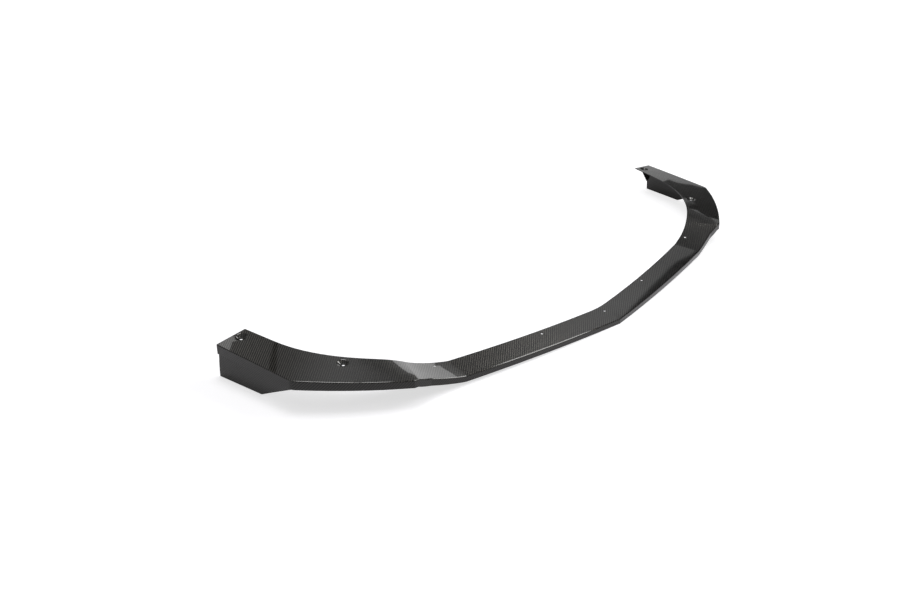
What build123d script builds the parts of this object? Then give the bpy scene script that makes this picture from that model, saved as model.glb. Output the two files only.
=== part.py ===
"""Front splitter lip: one moulded laminate with a low centre blade, two raised wings and a fin under each wing.

X runs across the car, the nose points to -Y, Z is up and the lip stands on z = 0.
"""

import os
from math import cos, dist, pi, radians, sin, tan

from build123d import *

os.makedirs("parts", exist_ok=True)

# Overall size
overall_width = 1800.0
overall_depth = 540.0

# Laminate
wall = 2.0
edge_radius = 3.0

# Centre blade from above, for one half
blade_half_span = 605.0
blade_sweep = 102.0
blade_bulge = 9.0
blade_chord = 73.0

# Step between the blade's front edge and the wing's front edge
step_width = 52.0
step_setback = 2.0

# Wing from above
wing_bulge = 12.0
wing_end_width = 85.0
side_length = 251.0
side_taper = 29.5
side_corner_round = 25.0
rear_corner_round = 3.0

# Inner edge: a straight rear stretch, a long bend round the wing and the blade's own rear edge
straight_length = 92.0
straight_taper = 17.0
bend_fullness = 1.1
bend_end_inset = 75.0
bend_end_setback = 166.0
inner_bulge = 9.5
apex_round = 300.0

# Rails of the top: how far inside the step each one lies at the front and at the rear, its height and its pitch
nose_height = 13.5
nose_pitch = 6.3
foot_offset = 149.0
foot_setback = 80.0
foot_height = 22.2
foot_pitch = 4.1
foot_rear_offset = 239.0
foot_fullness = 0.2
ridge_offset = 11.0
ridge_height = 63.4
ridge_pitch = -3.9
ridge_rear_offset = 216.0
shoulder_height = 66.1
shoulder_pitch = 4.9
shoulder_fullness = 1.6
side_height = 76.3
side_pitch = 1.75

# Slopes of the top on both sides of the ridge, at the foremost and rearmost sections
ramp_slope_front = 26.7
ramp_slope_rear = -25.5
bend_slope_front = -43.6
bend_slope_rear = 38.6

# Turned-down flange along the front and the sides
foot_flange = 15.5
ridge_flange = 20.0
shoulder_flange = 21.0
side_flange = 25.0

# Fin under each wing: its root lies inside the outline at the rear, its foot inside it at the front
fin_root_inset = 8.0
fin_foot_inset = 6.0
fin_toe_setback = 108.0

# Gusset that closes the corner between the fin and the wing at the rear end
gusset_base = 31.0
gusset_ledge = 4.0
gusset_width = 58.0

# Dished bolt seats in each wing: one beside the long bend, at a share of its length, and one at the rear end
front_seat_place = 0.54
front_seat_inset = 26.5
rear_seat_inset = 57.5
rear_seat_from_rear = 21.5
seat_depth = 5.0
seat_rim_radius = 15.0
seat_floor_radius = 9.0
seat_bore_radius = 4.0
seat_rim_round = 3.0

# Drilled holes along the inner edge: on the centreline, on the blade and where the ramp's bend begins
edge_hole_radius = 3.5
centre_hole_setback = 53.0
blade_hole_x = 221.0
blade_hole_setback = 88.0
ramp_hole_offset = 14.5
ramp_hole_setback = 154.0

# Construction room past the part's own limits
run_out = 25.0

half_width = overall_width / 2
nose_y = -overall_depth / 2
rear_y = overall_depth / 2
sky = 2 * (shoulder_height + overall_depth * tan(radians(shoulder_pitch)))

# Corners of one half of the outline
nose = (0, nose_y)
blade_end = (blade_half_span, nose_y + blade_sweep)
step_corner = (blade_half_span + step_width, nose_y + blade_sweep + step_setback)
side_corner = (half_width - side_taper, rear_y - side_length)
wing_middle_x = (step_corner[0] + side_corner[0]) / 2
rear_outer = (half_width, rear_y)
rear_inner = (half_width - wing_end_width, rear_y)
straight_end = (rear_inner[0] - straight_taper, rear_y - straight_length)
bend_end = (blade_half_span - bend_end_inset, nose_y + bend_end_setback)
inner_apex = (0, nose_y + blade_chord)

# Rails of the top surface: where each one starts, its x at the rear section and its pitch
side_rail_x = half_width + run_out
centre_rail = ((0, nose_y, nose_height), 0, nose_pitch)
foot_start = (step_corner[0] - foot_offset, nose_y + foot_setback, foot_height)
foot_rail = (foot_start, step_corner[0] - foot_rear_offset, foot_pitch)
ridge_start = (step_corner[0] - ridge_offset, step_corner[1], ridge_height)
ridge_rail = (ridge_start, step_corner[0] - ridge_rear_offset, ridge_pitch)
shoulder_rail = ((wing_middle_x, step_corner[1], shoulder_height), wing_middle_x, shoulder_pitch)
side_rail = ((side_rail_x, side_corner[1], side_height), side_rail_x, side_pitch)
rails = (centre_rail, foot_rail, ridge_rail, shoulder_rail, side_rail)
front_section_y = nose_y - run_out
rear_section_y = rear_y + run_out


def rail_point(rail, y, drop=0.0):
    """X and Z of a rail at y, lowered by drop."""
    (start_x, start_y, start_z), rear_x, pitch = rail
    run = y - start_y
    share = run / (rear_section_y - start_y)
    return (start_x + share * (rear_x - start_x), start_z + run * tan(radians(pitch)) - drop)


def wing_height(x, y, shoulder_drop=0.0, side_drop=0.0):
    """Height at x, y of the wing's top, ruled from the shoulder to the side, or of the same surface lowered."""
    share = (y - front_section_y) / (rear_section_y - front_section_y)
    ends = (front_section_y, rear_section_y)
    shoulder_front, shoulder_rear = [rail_point(shoulder_rail, end, shoulder_drop) for end in ends]
    side_front, side_rear = [rail_point(side_rail, end, side_drop) for end in ends]
    shoulder_x, shoulder_z = [a + share * (b - a) for a, b in zip(shoulder_front, shoulder_rear)]
    side_x, side_z = [a + share * (b - a) for a, b in zip(side_front, side_rear)]
    return shoulder_z + (side_z - shoulder_z) * (x - shoulder_x) / (side_x - shoulder_x)


def slope_direction(slope):
    """Direction across the part that climbs outwards at a slope."""
    return (cos(radians(slope)), sin(radians(slope)))


def cross_section(y, ramp_slope, bend_slope, drops):
    """The region under the top at y, across the whole width, lowered rail by rail."""
    centre, foot, ridge, shoulder, side = [rail_point(rail, y, drop) for rail, drop in zip(rails, drops)]
    with BuildSketch(Plane.XZ.offset(-y)) as region:
        with BuildLine():
            blade = Line(centre, foot)
            wing = Line(shoulder, side)
            Spline(
                foot,
                ridge,
                tangents=(blade % 1, slope_direction(ramp_slope)),
                tangent_scalars=(foot_fullness, 1),
            )
            Spline(
                ridge,
                shoulder,
                tangents=(slope_direction(bend_slope), wing % 0),
                tangent_scalars=(1, shoulder_fullness * wing.length / dist(ridge, shoulder)),
            )
            Line(side, (side[0], -sky))
            Line((side[0], -sky), (0, -sky))
            mirror(about=Plane.YZ)
        make_face()
    return region.sketch


def under_top(drops):
    """The foremost and rearmost sections of the space under the top, lowered rail by rail."""
    front = cross_section(front_section_y, ramp_slope_front, bend_slope_front, drops)
    rear = cross_section(rear_section_y, ramp_slope_rear, bend_slope_rear, drops)
    return [front, rear]


# The top, the laminate's middle, its lining and the flange's lower edge are one ruled form at four heights
with BuildPart() as top_form:
    loft(under_top([0] * len(rails)), ruled=True)

with BuildPart() as middle_form:
    loft(under_top([wall / 2] * len(rails)), ruled=True)

with BuildPart() as lining_form:
    loft(under_top([wall] * len(rails)), ruled=True)

with BuildPart() as flange_form:
    loft(under_top([nose_height, foot_flange, ridge_flange, shoulder_flange, side_flange]), ruled=True)

# Front and side outline, closed across the back past the rear end
with BuildSketch() as envelope:
    with BuildLine():
        SagittaArc(nose, blade_end, -blade_bulge)
        Line(blade_end, step_corner)
        SagittaArc(step_corner, side_corner, -wing_bulge)
        Line(side_corner, rear_outer)
        Line(rear_outer, (half_width, rear_section_y))
        Line((half_width, rear_section_y), (0, rear_section_y))
        mirror(about=Plane.YZ)
    make_face()
    for corner_x in (side_corner[0], -side_corner[0]):
        corner = envelope.vertices().sort_by_distance((corner_x, side_corner[1], 0))[0]
        fillet(corner, side_corner_round)

# The same outline inside the flange
with BuildSketch() as cavity:
    offset(envelope.sketch, amount=-wall)

# The bay behind the inner edge, with all that lies past the rear end
corner_start = (half_width - rear_corner_round, rear_y)
corner_end = (half_width, rear_y - rear_corner_round)
margin_x = half_width + run_out
margin_y = rear_section_y + run_out
with BuildSketch() as bay:
    with BuildLine():
        blade_edge = SagittaArc(inner_apex, bend_end, -inner_bulge)
        straight = Line(straight_end, rear_inner)
        bend = Spline(
            bend_end,
            straight_end,
            tangents=(blade_edge % 1, straight % 0),
            tangent_scalars=(bend_fullness, bend_fullness),
        )
        Line(rear_inner, corner_start)
        RadiusArc(corner_start, corner_end, rear_corner_round)
        Line(corner_end, (margin_x, corner_end[1]))
        Line((margin_x, corner_end[1]), (margin_x, margin_y))
        Line((margin_x, margin_y), (0, margin_y))
        mirror(about=Plane.YZ)
    make_face()
    apex = bay.vertices().sort_by_distance((*inner_apex, 0))[0]
    fillet(apex, apex_round)

with BuildPart() as hollow:
    extrude(cavity.sketch, amount=sky, both=True)
    add(lining_form.part, mode=Mode.INTERSECT)

# All that hangs under the wings stays inside this
with BuildPart() as inside:
    extrude(envelope.sketch, amount=sky, both=True)
    add(middle_form.part, mode=Mode.INTERSECT)

# Fin on each side, with the ledge where the flange stands proud of it and the gusset at its rear end
fin_root_height = wing_height(*rear_inner)
fin_root = (side_corner, (half_width - fin_root_inset, rear_y))
fin_foot = ((side_corner[0] - fin_foot_inset, side_corner[1]), rear_outer)
fin_front_height = wing_height(*side_corner, shoulder_flange, side_flange)
fin_toe_y = side_corner[1] + fin_toe_setback
gusset_top_x = fin_root[1][0] - wall / 2
gusset_base_x = half_width - fin_root_inset * gusset_base / fin_root_height - wall / 2


def fin_strip(line, height, reach):
    """A level strip beside the line of the fin's outer face, reaching outwards by reach."""
    front, rear = line
    with BuildSketch(Plane.XY.offset(height)) as strip:
        with BuildLine():
            Polyline(front, rear, (rear[0] + reach, rear[1]), (front[0] + reach, front[1]), close=True)
        make_face()
    return strip.sketch


with BuildPart() as ledge:
    loft([fin_strip(fin_foot, 0, run_out), fin_strip(fin_root, fin_root_height, run_out)], ruled=True)
    add(flange_form.part, mode=Mode.SUBTRACT)

with BuildPart() as gusset:
    with BuildSketch(Plane.XZ.offset(-rear_y)):
        with BuildLine():
            Polyline(
                (gusset_base_x, gusset_base),
                (gusset_base_x - wall / 2 - gusset_ledge, gusset_base),
                (half_width - gusset_width, fin_root_height),
                (gusset_top_x, fin_root_height),
                close=True,
            )
        make_face()
    extrude(amount=wall)

with BuildPart() as fins:
    loft([fin_strip(fin_foot, 0, -wall), fin_strip(fin_root, fin_root_height, -wall)], ruled=True)
    with BuildSketch(Plane.YZ):
        with BuildLine():
            Polyline(
                (side_corner[1], fin_front_height),
                (fin_toe_y, 0),
                (rear_y, 0),
                (rear_y, fin_root_height),
                (side_corner[1], fin_root_height),
                close=True,
            )
        make_face()
    extrude(amount=margin_x, mode=Mode.INTERSECT)
    add(ledge.part)
    add(gusset.part)
    mirror(about=Plane.YZ)
    add(inside.part, mode=Mode.INTERSECT)

# Dished seats: a level floor with a sloping wall, pressed down through the laminate
seat_slope = (seat_rim_radius - seat_floor_radius) / seat_depth
seat_reach = seat_depth + run_out
front_seat = bend @ front_seat_place + (bend % front_seat_place).rotate(Axis.Z, -90) * front_seat_inset
seat_spots = [
    (front_seat.X, front_seat.Y),
    (half_width - rear_seat_inset, rear_y - rear_seat_from_rear),
]
seats = [(side * x, y, wing_height(x, y) - seat_depth) for x, y in seat_spots for side in (1, -1)]
seat_top_radius = seat_floor_radius + seat_slope * seat_reach
seat_middle_radius = (seat_floor_radius + seat_rim_radius) / 2

with BuildPart() as seat_backs:
    with Locations(*[(x, y, z - wall) for x, y, z in seats]):
        Cone(
            seat_floor_radius + wall,
            seat_top_radius + wall,
            seat_reach,
            align=(Align.CENTER, Align.CENTER, Align.MIN),
        )
    add(inside.part, mode=Mode.INTERSECT)

ramp_hole_x = bend_end[0] + ramp_hole_offset
edge_holes = [
    (0, nose_y + centre_hole_setback),
    (blade_hole_x, nose_y + blade_hole_setback),
    (-blade_hole_x, nose_y + blade_hole_setback),
    (ramp_hole_x, nose_y + ramp_hole_setback),
    (-ramp_hole_x, nose_y + ramp_hole_setback),
]

with BuildPart() as splitter_lip:
    extrude(envelope.sketch, amount=sky, both=True)
    add(top_form.part, mode=Mode.INTERSECT)
    add(flange_form.part, mode=Mode.SUBTRACT)
    top_faces = splitter_lip.faces().filter_by(lambda face: face.normal_at().Z > 0.5)
    top_edges = top_faces.edges()
    rim = [edge for edge in top_edges if sum(edge.is_same(other) for other in top_edges) == 1]
    fillet([edge for edge in rim if edge.center().Y < rear_y], edge_radius)
    add(hollow.part, mode=Mode.SUBTRACT)
    add(fins.part)
    add(seat_backs.part)
    extrude(bay.sketch, amount=sky, both=True, mode=Mode.SUBTRACT)
    with Locations(*seats):
        Cone(
            seat_floor_radius,
            seat_top_radius,
            seat_reach,
            align=(Align.CENTER, Align.CENTER, Align.MIN),
            mode=Mode.SUBTRACT,
        )
    seat_edges = splitter_lip.edges(Select.LAST)
    fillet([edge for edge in seat_edges if edge.length > 2 * pi * seat_middle_radius], seat_rim_round)
    with Locations(*seats):
        Hole(seat_bore_radius, depth=2 * wall)
    with Locations(*[(x, y, sky) for x, y in edge_holes]):
        Hole(edge_hole_radius, depth=2 * sky)

splitter_lip.part.label = "splitter_lip"
export_step(splitter_lip.part, "parts/splitter_lip.step")
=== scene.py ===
import math

import bpy
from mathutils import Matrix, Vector

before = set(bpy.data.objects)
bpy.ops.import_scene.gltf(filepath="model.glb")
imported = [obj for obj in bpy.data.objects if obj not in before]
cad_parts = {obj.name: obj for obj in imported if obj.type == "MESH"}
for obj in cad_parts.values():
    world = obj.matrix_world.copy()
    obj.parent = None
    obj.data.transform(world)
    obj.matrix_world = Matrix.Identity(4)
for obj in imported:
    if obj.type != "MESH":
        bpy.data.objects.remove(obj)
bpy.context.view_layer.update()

scene = bpy.context.scene
scene.view_settings.view_transform = "Standard"

# the photograph's viewpoint, in front of the lip, to its left and above
CAMERA_PLACE = (-2.017256, -1.630019, 1.282677)
CAMERA_TILT = 90.0 - 27.2136
CAMERA_TURN = -45.871
CAMERA_LENS = 39.717
CAMERA_SENSOR = 36.0

# the woven carbon: width of a tow, turn of the cloth on top, and the colours, where the weft carries a
# painted sheen, the warp painted shade, though both are the same fibre, and the resin colour also stands for
# painted shade at the tows' edges
TOW_WIDTH = 0.0019
CLOTH_TURN = -5.5
# the warp's near black is painted shade and the weft's paler brownish colour is a painted sheen
WARP_PAINTED_SHADE_COLOUR = (0.004, 0.004, 0.004, 1.0)
WEFT_PAINTED_SHEEN_COLOUR = (0.058, 0.0545, 0.0472, 1.0)
# the resin colour is also painted shade towards each tow's ends and edges
RESIN_AND_TOW_SHADE_COLOUR = (0.004, 0.004, 0.004, 1.0)
# how far the front edge runs along x and y in one metre
EDGE_RUN_X = 0.85
EDGE_RUN_Y = 0.53

# the stage: a round floor just below the lip, inside a round wall
FLOOR_LEVEL = -0.0005
FLOOR_COLOUR = (0.5, 0.495, 0.515, 1.0)
STAGE_RADIUS = 7.0
STAGE_SIDES = 96
WALL_HEIGHT = 2.6

# strengths of the floor's glow, and the share of it that shows in reflections
GLOW_NEAR = 0.64
GLOW_BEHIND = 0.77
GLOW_FAR = 1.0
GLOW_MIRRORED = 0.25

# the dark part of the studio, between two bearings in degrees
DARK = 0.01
DARK_LEFT = 26.2
DARK_RIGHT = -20.0
WHITE = 1.0

# name, place, the point it faces, width, height and radiance of each softbox
SOFTBOXES = (
    ("key", (0.66, -0.5, 1.25), (-0.42, -0.35, 0.02), 1.4, 0.45, 7.6),
    ("overhead", (-0.38, 0.41, 2.42), (-0.77, -0.08, 0.07), 1.0, 1.1, 7.6),
    ("back", (0.05, 2.35, 2.0), (-0.8, 0.2, 0.0), 0.16, 0.4, 1.3),
)


class Nodes:
    """Short forms for adding and linking the nodes of a material or of the world."""

    def __init__(self, tree):
        self.tree = tree

    def add(self, kind, **settings):
        node = self.tree.nodes.new(kind)
        for key, value in settings.items():
            setattr(node, key, value)
        return node

    def link(self, source, target):
        self.tree.links.new(source, target)

    def feed(self, socket, value):
        if isinstance(value, bpy.types.NodeSocket):
            self.link(value, socket)
        else:
            socket.default_value = value

    def math(self, operation, a, b=0.0, c=0.0):
        node = self.add("ShaderNodeMath", operation=operation)
        for socket, value in zip(node.inputs, (a, b, c)):
            self.feed(socket, value)
        return node.outputs[0]

    def product(self, first, *others):
        for other in others:
            first = self.math("MULTIPLY", first, other)
        return first

    def mix(self, factor, a, b):
        node = self.add("ShaderNodeMix", data_type="RGBA")
        self.feed(node.inputs["Factor"], factor)
        self.feed(node.inputs[6], a)
        self.feed(node.inputs[7], b)
        return node.outputs[2]

    def mix_value(self, factor, a, b):
        node = self.add("ShaderNodeMix", data_type="FLOAT")
        self.feed(node.inputs["Factor"], factor)
        self.feed(node.inputs[2], a)
        self.feed(node.inputs[3], b)
        return node.outputs[0]

    def smooth(self, value, from_min, from_max, to_min, to_max):
        """A soft step from to_min to to_max."""
        node = self.add("ShaderNodeMapRange", interpolation_type="SMOOTHSTEP")
        for socket, setting in zip(node.inputs, (value, from_min, from_max, to_min, to_max)):
            self.feed(socket, setting)
        return node.outputs["Result"]

    def smooth_angle(self, angle, from_degrees, to_degrees, to_min, to_max):
        return self.smooth(angle, math.radians(from_degrees), math.radians(to_degrees), to_min, to_max)

    def split(self, vector):
        node = self.add("ShaderNodeSeparateXYZ")
        self.link(vector, node.inputs[0])
        return node.outputs

    def seen_white(self, strength):
        """White to the camera and through glass, and the given strength to all other rays."""
        rays = self.add("ShaderNodeLightPath")
        seen = self.math("MAXIMUM", rays.outputs["Is Camera Ray"], rays.outputs["Is Transmission Ray"])
        return self.mix_value(seen, strength, WHITE)

    def finish(self, shader):
        self.link(shader.outputs[0], self.add("ShaderNodeOutputMaterial").inputs["Surface"])


def new_material(name):
    material = bpy.data.materials.new(name)
    material.use_nodes = True
    material.node_tree.nodes.clear()
    return material, Nodes(material.node_tree)


def add_camera():
    data = bpy.data.cameras.new("camera")
    data.sensor_width = CAMERA_SENSOR
    data.lens = CAMERA_LENS
    camera = bpy.data.objects.new("camera", data)
    camera.location = CAMERA_PLACE
    camera.rotation_euler = (math.radians(CAMERA_TILT), 0.0, math.radians(CAMERA_TURN))
    scene.collection.objects.link(camera)
    scene.camera = camera


def cloth_place(n, side, upright):
    """The place on the cloth, counted in tows across the warp and along it.

    The cloth runs along x and y on top, along the front edge and z on the flange, along y and z on the fins.
    """
    x, y, z = n.split(n.add("ShaderNodeTexCoord").outputs["Object"])
    turn = math.radians(CLOTH_TURN)
    swept = n.product(y, n.math("SIGN", x), EDGE_RUN_Y)
    edge_run = n.math("ADD", n.product(x, EDGE_RUN_X), swept)
    turned_x = n.math("ADD", n.product(x, math.cos(turn)), n.product(y, math.sin(turn)))
    turned_y = n.math("SUBTRACT", n.product(y, math.cos(turn)), n.product(x, math.sin(turn)))
    run = n.mix_value(upright, turned_x, n.mix_value(side, edge_run, y))
    across = n.math("DIVIDE", run, TOW_WIDTH)
    along = n.math("DIVIDE", n.mix_value(upright, turned_y, z), TOW_WIDTH)
    return across, along


def twill(n, across, along):
    """A two by two twill: 1 where the warp is on top, and the height of the tows from 0 to 1."""
    column = n.math("FLOOR", across)
    row = n.math("FLOOR", along)
    step = n.math("FLOORED_MODULO", n.math("SUBTRACT", column, row), 4.0)
    warp_on_top = n.math("LESS_THAN", step, 1.5)
    # each tow passes over two cells: the place along that float and across the tow, from 0 to 1
    in_column = n.math("SUBTRACT", across, column)
    in_row = n.math("SUBTRACT", along, row)
    warp_cell = n.math("FLOORED_MODULO", n.math("ADD", n.math("SUBTRACT", row, column), 1.0), 4.0)
    warp_along = n.math("DIVIDE", n.math("ADD", n.math("FLOORED_MODULO", warp_cell, 2.0), in_row), 2.0)
    weft_along = n.math("DIVIDE", n.math("ADD", n.math("FLOORED_MODULO", step, 2.0), in_column), 2.0)
    along_float = n.mix_value(warp_on_top, weft_along, warp_along)
    across_tow = n.mix_value(warp_on_top, in_row, in_column)
    crown_along = n.math("SINE", n.product(along_float, math.pi))
    crown_across = n.math("SINE", n.product(across_tow, math.pi))
    height = n.product(n.math("POWER", crown_along, 0.5), n.math("POWER", crown_across, 0.35))
    return warp_on_top, height


def highlight_direction(n, side, upright, warp_on_top):
    """A highlight spreads across the fibres: along x on the warp and along y, or z, on the weft."""
    sideways = n.add("ShaderNodeCombineXYZ")
    n.link(n.math("SUBTRACT", 1.0, side), sideways.inputs[0])
    n.link(side, sideways.inputs[1])
    upwards = n.add("ShaderNodeCombineXYZ")
    n.link(n.math("SUBTRACT", 1.0, upright), upwards.inputs[1])
    n.link(upright, upwards.inputs[2])
    spread = n.add("ShaderNodeMix", data_type="VECTOR")
    n.link(warp_on_top, spread.inputs["Factor"])
    n.link(upwards.outputs[0], spread.inputs[4])
    n.link(sideways.outputs[0], spread.inputs[5])
    return spread.outputs[1]


def carbon_material():
    """Woven carbon under a clear coat, with a painted sheen on the weft, painted shade on the warp, and
    painted shade towards each tow's ends and edges.
    """
    material, n = new_material("carbon_twill")
    facing = n.split(n.add("ShaderNodeNewGeometry").outputs["True Normal"])
    side = n.math("GREATER_THAN", n.math("ABSOLUTE", facing[0]), 0.9)
    upright = n.math("LESS_THAN", n.math("ABSOLUTE", facing[2]), 0.6)
    across, along = cloth_place(n, side, upright)
    warp_on_top, height = twill(n, across, along)
    # painted sheen and shade: the weft gets the paler colour and the warp the near black
    fibre_sheen_and_shade = n.mix(warp_on_top, WEFT_PAINTED_SHEEN_COLOUR, WARP_PAINTED_SHADE_COLOUR)

    bump = n.add("ShaderNodeBump")
    bump.inputs["Strength"].default_value = 0.15
    bump.inputs["Distance"].default_value = 0.0003
    n.link(height, bump.inputs["Height"])

    shader = n.add("ShaderNodeBsdfPrincipled")
    # darker towards each tow's ends and edges: painted shade on the rounded tows, and the real resin in the
    # gaps between them
    n.link(n.mix(height, RESIN_AND_TOW_SHADE_COLOUR, fibre_sheen_and_shade), shader.inputs["Base Color"])
    shader.inputs["Metallic"].default_value = 0.95
    shader.inputs["Roughness"].default_value = 0.36
    shader.inputs["Anisotropic"].default_value = 0.9
    n.link(highlight_direction(n, side, upright, warp_on_top), shader.inputs["Tangent"])
    n.link(bump.outputs[0], shader.inputs["Normal"])
    shader.inputs["Coat Weight"].default_value = 1.0
    shader.inputs["Coat Roughness"].default_value = 0.03
    shader.inputs["Coat IOR"].default_value = 1.5
    n.finish(shader)
    return material


def floor_material():
    """White floor: lit by the lamps, with a glow so that it reads as white, and clear from below."""
    material, n = new_material("floor_white")
    diffuse = n.add("ShaderNodeBsdfDiffuse")
    diffuse.inputs["Color"].default_value = FLOOR_COLOUR
    rays = n.add("ShaderNodeLightPath")
    mirrored = n.product(rays.outputs["Is Glossy Ray"], GLOW_MIRRORED)
    seen = n.math("MAXIMUM", rays.outputs["Is Camera Ray"], mirrored)
    seen = n.math("MAXIMUM", seen, rays.outputs["Is Transmission Ray"])

    # the glow grows away from the lip and behind it, where the lamps light the floor less
    geometry = n.add("ShaderNodeNewGeometry")
    away = n.add("ShaderNodeVectorMath", operation="LENGTH")
    n.link(geometry.outputs["Position"], away.inputs[0])
    around = n.smooth(away.outputs["Value"], 0.95, 2.4, GLOW_NEAR, GLOW_FAR)
    backwards = n.add("ShaderNodeVectorMath", operation="DOT_PRODUCT")
    n.link(geometry.outputs["Position"], backwards.inputs[0])
    backwards.inputs[1].default_value = (0.707, 0.707, 0.0)
    behind = n.smooth(backwards.outputs["Value"], -0.5, 0.5, GLOW_NEAR, GLOW_BEHIND)
    glow = n.add("ShaderNodeEmission")
    n.link(n.product(seen, n.math("MAXIMUM", around, behind)), glow.inputs["Strength"])

    both = n.add("ShaderNodeAddShader")
    n.link(diffuse.outputs[0], both.inputs[0])
    n.link(glow.outputs[0], both.inputs[1])
    pick = n.add("ShaderNodeMixShader")
    n.link(geometry.outputs["Backfacing"], pick.inputs[0])
    n.link(both.outputs[0], pick.inputs[1])
    n.link(n.add("ShaderNodeBsdfTransparent").outputs[0], pick.inputs[2])
    n.finish(pick)
    return material


def wall_material():
    """Round studio wall: pale on the left, with a dark curtain on the right whose lower edge slopes."""
    material, n = new_material("wall_grey")
    x, y, z = n.split(n.add("ShaderNodeNewGeometry").outputs["Position"])
    bearing = n.math("ARCTAN2", y, x)
    beside = n.math("SUBTRACT", math.radians(DARK_LEFT), bearing)
    hem = n.math("MINIMUM", n.math("MULTIPLY_ADD", beside, 8.9, 1.88), 2.2)
    curtain = n.product(
        n.math("GREATER_THAN", beside, 0.0),
        n.math("GREATER_THAN", bearing, math.radians(DARK_RIGHT)),
        n.math("GREATER_THAN", z, hem),
    )
    # brightest where the near ramp mirrors it, and darker at its foot
    pale = n.product(
        n.smooth_angle(bearing, 28.0, 33.0, 0.58, 1.5),
        n.smooth_angle(bearing, 40.0, 47.0, 1.0, 0.3),
        n.smooth(z, 0.4, 0.8, 0.3, 1.0),
    )
    glow = n.add("ShaderNodeEmission")
    n.link(n.seen_white(n.mix_value(curtain, pale, DARK)), glow.inputs["Strength"])
    n.finish(glow)
    return material


def add_stage_mesh(name, vertices, faces, material):
    mesh = bpy.data.meshes.new(name)
    mesh.from_pydata(vertices, [], faces)
    mesh.materials.append(material)
    obj = bpy.data.objects.new(name, mesh)
    scene.collection.objects.link(obj)


def add_stage():
    turns = [2 * math.pi * i / STAGE_SIDES for i in range(STAGE_SIDES)]
    ring = [(STAGE_RADIUS * math.cos(turn), STAGE_RADIUS * math.sin(turn)) for turn in turns]
    low = [(x, y, FLOOR_LEVEL) for x, y in ring]
    high = [(x, y, WALL_HEIGHT) for x, y in ring]
    add_stage_mesh("floor", low, [tuple(range(STAGE_SIDES))], floor_material())
    faces = []
    for i in range(STAGE_SIDES):
        after = (i + 1) % STAGE_SIDES
        faces.append((i, after, STAGE_SIDES + after, STAGE_SIDES + i))
    add_stage_mesh("wall", low + high, faces, wall_material())


def add_softbox(name, location, target, width, height, radiance):
    data = bpy.data.lights.new(name, "AREA")
    data.shape = "RECTANGLE"
    data.size = width
    data.size_y = height
    data.energy = radiance * math.pi * width * height
    lamp = bpy.data.objects.new(name, data)
    lamp.location = location
    direction = Vector(target) - Vector(location)
    lamp.rotation_euler = direction.to_track_quat("-Z", "Y").to_euler()
    lamp.visible_camera = False
    scene.collection.objects.link(lamp)


def sky_lit_part(n, bearing, rise):
    """1 where the sky is lit, 0 in its dark part, whose left edge leans as it rises."""
    lean = n.product(n.math("MAXIMUM", n.math("SUBTRACT", rise, math.radians(28.6)), 0.0), 0.1)
    lean = n.math("ADD", lean, n.smooth_angle(rise, 27.2, 28.6, 0.0, math.radians(0.65)))
    lean = n.math("ADD", lean, n.smooth_angle(rise, 25.0, 26.4, math.radians(0.9), 0.0))
    left = n.smooth_angle(n.math("SUBTRACT", bearing, lean), 26.15, 26.45, 0.0, 1.0)
    right = n.math("LESS_THAN", bearing, math.radians(DARK_RIGHT))
    return n.math("MAXIMUM", left, right)


def sky_strength(n, bearing, rise):
    """Strength of the lit part of the sky, by bearing and by height above the horizon."""
    strength = n.product(
        n.smooth_angle(rise, 30.0, 39.0, 0.22, 0.36),
        n.smooth_angle(bearing, 38.0, 46.0, 0.8, 1.0),
        n.smooth_angle(bearing, 52.0, 58.0, 1.0, 0.76),
    )
    strength = n.math("ADD", strength, n.smooth_angle(rise, 46.0, 56.0, 0.0, 0.18))

    # a soft paler patch that the near wing's front mirrors
    off_bearing = n.math("SUBTRACT", bearing, math.radians(48.5))
    off_rise = n.math("SUBTRACT", rise, math.radians(39.3))
    off = n.math("ADD", n.product(off_bearing, off_bearing), n.product(off_rise, off_rise))
    strength = n.math("ADD", strength, n.smooth_angle(n.math("SQRT", off), 0.0, 9.0, 0.35, 0.0))

    # a paler strip beside the dark part, which the middle of the blade mirrors
    slope = n.product(n.math("SUBTRACT", bearing, math.radians(28.0)), 0.45)
    strip = n.product(
        n.smooth_angle(bearing, 28.0, 41.0, 0.55, 0.0),
        n.smooth_angle(rise, 28.0, 34.0, 0.45, 1.0),
        n.smooth_angle(n.math("SUBTRACT", rise, slope), 33.8, 35.4, 1.0, 0.0),
    )
    strength = n.math("ADD", strength, strip)

    # a thin dark stand, which the near wing mirrors as a streak
    beside_stand = n.math("ABSOLUTE", n.math("SUBTRACT", bearing, math.radians(58.2)))
    stand = n.product(
        n.smooth_angle(beside_stand, 0.35, 0.65, 1.0, 0.0),
        n.math("LESS_THAN", rise, math.radians(45.0)),
    )
    return n.mix_value(stand, strength, 0.02)


def add_lights():
    for softbox in SOFTBOXES:
        add_softbox(*softbox)
    world = bpy.data.worlds.new("world")
    scene.world = world
    world.use_nodes = True
    n = Nodes(world.node_tree)
    x, y, z = n.split(n.add("ShaderNodeTexCoord").outputs["Generated"])
    bearing = n.math("ARCTAN2", y, x)
    rise = n.math("ARCSINE", z)
    lit = sky_lit_part(n, bearing, rise)
    strength = n.mix_value(lit, DARK, sky_strength(n, bearing, rise))
    background = world.node_tree.nodes["Background"]
    background.inputs["Color"].default_value = (1.0, 1.0, 1.0, 1.0)
    n.link(n.seen_white(strength), background.inputs["Strength"])


add_camera()
add_stage()
add_lights()
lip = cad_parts["splitter_lip"]
carbon = carbon_material()
for slot in lip.material_slots:
    slot.material = carbon
